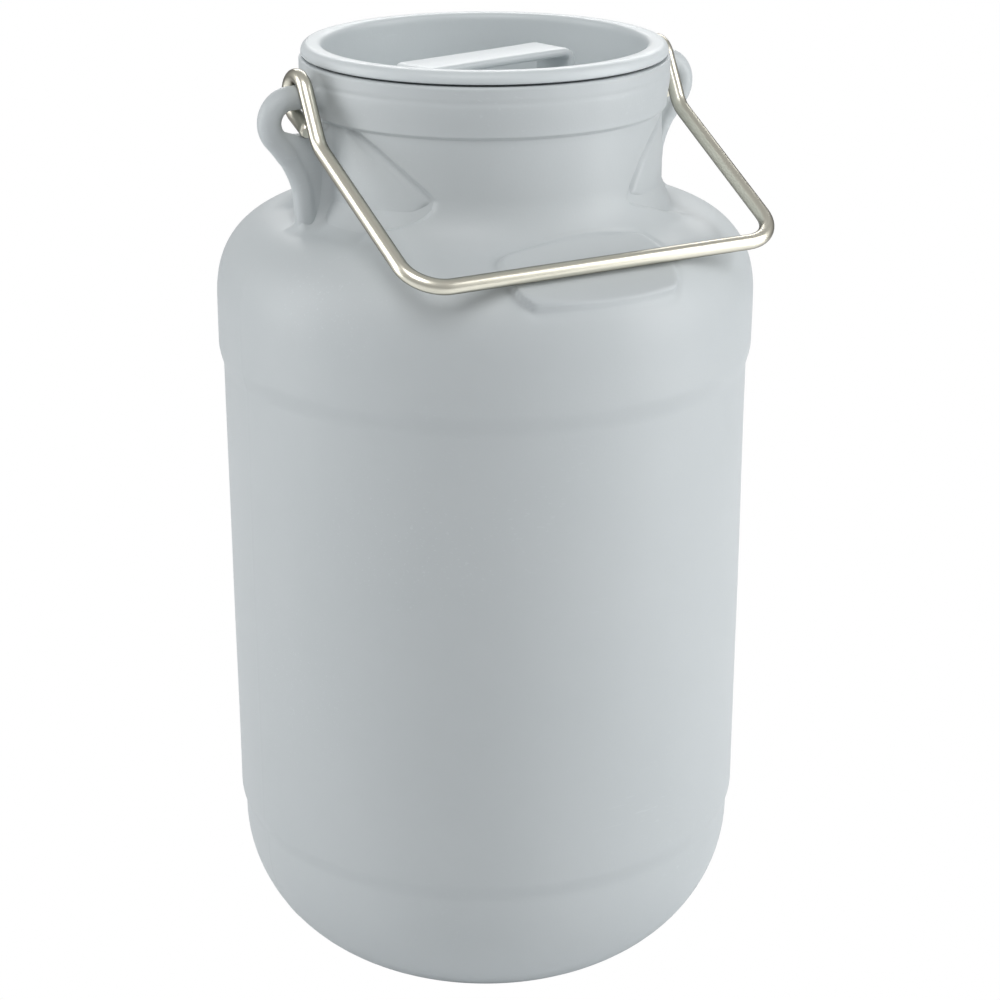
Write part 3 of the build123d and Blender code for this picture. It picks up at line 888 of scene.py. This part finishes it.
def drawn_steel(name):
    """Satin stainless wire with fine die lines along its length, and painted shade darkening its edges."""
    material, tree, shader, place = blank_material(name)
    travel = node(tree, "ShaderNodeAttribute", attribute_name="travel")
    across = node(tree, "ShaderNodeAttribute", attribute_name="across")
    run = node(tree, "ShaderNodeCombineXYZ", {"Z": maths(tree, "MULTIPLY", travel.outputs["Fac"], 14.0)})
    stretch = node(tree, "ShaderNodeVectorMath", {0: across.outputs["Vector"], 2: run.outputs[0]},
                   operation="MULTIPLY_ADD")
    stretch.inputs[1].default_value = (1300.0, 1300.0, 0.0)
    lines = node(tree, "ShaderNodeTexNoise", {"Vector": stretch.outputs[0]}, Scale=1.0, Detail=4.0,
                 Roughness=0.65)
    blotch = node(tree, "ShaderNodeTexNoise", {"Vector": place.outputs["Object"]}, Scale=70.0, Detail=3.0)
    tint = node(tree, "ShaderNodeMix", {"Factor": lines.outputs["Fac"]}, data_type="RGBA")
    tint.inputs["A"].default_value = srgb(236, 233, 219)
    tint.inputs["B"].default_value = srgb(219, 215, 199)
    # Painted shade: the colour darkens towards the wire's edges, where it turns away from the camera, in
    # place of dark reflections.
    edge = node(tree, "ShaderNodeLayerWeight", Blend=0.5)
    rise = node(tree, "ShaderNodeMapRange", {"Value": edge.outputs["Facing"]},
                interpolation_type="SMOOTHSTEP")
    rise.inputs["From Min"].default_value = 0.34
    rise.inputs["From Max"].default_value = 0.88
    painted_dark_edges = node(tree, "ShaderNodeMix", {"Factor": rise.outputs[0], "A": tint.outputs["Result"]},
                data_type="RGBA")
    painted_dark_edges.inputs["B"].default_value = srgb(88, 81, 65)
    tree.links.new(painted_dark_edges.outputs["Result"], shader.inputs["Base Color"])
    gloss = node(tree, "ShaderNodeMapRange", {"Value": blotch.outputs["Fac"]})
    gloss.inputs["To Min"].default_value = 0.26
    gloss.inputs["To Max"].default_value = 0.34
    tree.links.new(gloss.outputs[0], shader.inputs["Roughness"])
    add_relief(tree, shader, lines.outputs["Fac"], 0.12, 0.00005)
    shader.inputs["Metallic"].default_value = 1.0
    return material


# ---------------------------------------------------------------- studio
CAMERA_TURN = radians(29.5)
CAMERA_PITCH = radians(20.66)
CAMERA_AWAY = 939.8
CAMERA_ASIDE = 6.15
CAMERA_HEIGHT = 547.5
LENS = 84.7


def build_camera():
    camera = bpy.data.cameras.new("camera")
    camera.lens = LENS
    camera.sensor_width = 36.0
    holder = bpy.data.objects.new("camera", camera)
    c, s = cos(CAMERA_TURN), sin(CAMERA_TURN)
    holder.location = ((CAMERA_ASIDE * c - CAMERA_AWAY * s) * MM, (-CAMERA_ASIDE * s - CAMERA_AWAY * c) * MM,
                       CAMERA_HEIGHT * MM)
    holder.rotation_euler = (pi / 2 - CAMERA_PITCH, 0, -CAMERA_TURN)
    bpy.context.scene.collection.objects.link(holder)
    bpy.context.scene.camera = holder


def softbox(name, turn, height, away, size, power, aim=0.2):
    """An area light at an angle round from the camera's side, aimed at the can."""
    light = bpy.data.lights.new(name, "AREA")
    light.shape = "RECTANGLE"
    light.size, light.size_y = size
    light.energy = power
    holder = bpy.data.objects.new(name, light)
    angle = radians(turn) - CAMERA_TURN
    holder.location = (away * sin(angle), -away * cos(angle), height)
    toward = Vector((0, 0, aim)) - Vector(holder.location)
    holder.rotation_euler = toward.to_track_quat("-Z", "Y").to_euler()
    bpy.context.scene.collection.objects.link(holder)


def build_world():
    """A pale room. The camera sees it as white, and gloss sees a little of that white."""
    world = bpy.data.worlds.new("studio")
    bpy.context.scene.world = world
    world.use_nodes = True
    tree = world.node_tree
    tree.nodes.clear()
    seen = tree.nodes.new("ShaderNodeLightPath")
    room = node(tree, "ShaderNodeBackground", Strength=0.33)
    room.inputs["Color"].default_value = (0.985, 0.99, 1.0, 1)
    backdrop = node(tree, "ShaderNodeBackground", Strength=1.0)
    backdrop.inputs["Color"].default_value = (1, 1, 1, 1)
    shown = maths(tree, "MAXIMUM", seen.outputs["Is Camera Ray"],
                  maths(tree, "MULTIPLY", seen.outputs["Is Glossy Ray"], 0.15))
    either = node(tree, "ShaderNodeMixShader", {0: shown, 1: room.outputs[0], 2: backdrop.outputs[0]})
    out = tree.nodes.new("ShaderNodeOutputWorld")
    tree.links.new(either.outputs[0], out.inputs["Surface"])


def build_floor():
    """A pale floor that the camera sees as plain white."""
    size = 6.0
    mesh = bpy.data.meshes.new("floor")
    corners = [(-size, -size, 0), (size, -size, 0), (size, size, 0), (-size, size, 0)]
    mesh.from_pydata(corners, [], [(0, 1, 2, 3)])
    floor = bpy.data.objects.new("floor", mesh)
    bpy.context.scene.collection.objects.link(floor)
    material = bpy.data.materials.new("paper")
    material.use_nodes = True
    tree = material.node_tree
    tree.nodes.clear()
    seen = tree.nodes.new("ShaderNodeLightPath")
    paper = node(tree, "ShaderNodeBsdfDiffuse")
    paper.inputs["Color"].default_value = (0.93, 0.94, 0.95, 1)
    white = node(tree, "ShaderNodeEmission", Strength=1.0)
    either = node(tree, "ShaderNodeMixShader", {0: seen.outputs["Is Camera Ray"], 1: paper.outputs[0],
                                                2: white.outputs[0]})
    out = tree.nodes.new("ShaderNodeOutputMaterial")
    tree.links.new(either.outputs[0], out.inputs["Surface"])
    mesh.materials.append(material)


def build_lights():
    softbox("right_bank", 78, 0.5, 1.1, (0.5, 1.3), 9.6)
    softbox("left_bank", -84, 0.5, 1.2, (0.45, 1.3), 6.9)
    softbox("top_bank", -14, 1.0, 0.62, (0.5, 0.5), 3.1, 0.34)
    softbox("back_bank", 176, 0.95, 1.1, (1.1, 0.3), 7.0, 0.38)


# ---------------------------------------------------------------- making
bpy.context.scene.view_settings.view_transform = "Standard"
build_camera()
build_world()
build_floor()
build_lights()

grain_group = moulded_grain()
marks_group = handling_marks()
can_finish = plastic("can_plastic", grain_group, marks_group, (190, 195, 197), (183, 189, 191), 0.44, 0.10)
lid_finish = plastic("lid_plastic", grain_group, marks_group, (201, 207, 209), (195, 201, 203), 0.40, 0.10)
seal_finish = rubber("seal_rubber", grain_group)
wire_finish = drawn_steel("bail_steel")

rods = rod_tree()
turner = turned_tree()
build_shell(can_finish)
build_ear(-1, rods, can_finish)
build_ear(1, rods, can_finish)
build_lid(turner, lid_finish)
build_seal(turner, seal_finish)
build_grip(lid_finish)
build_bail(rods, wire_finish)
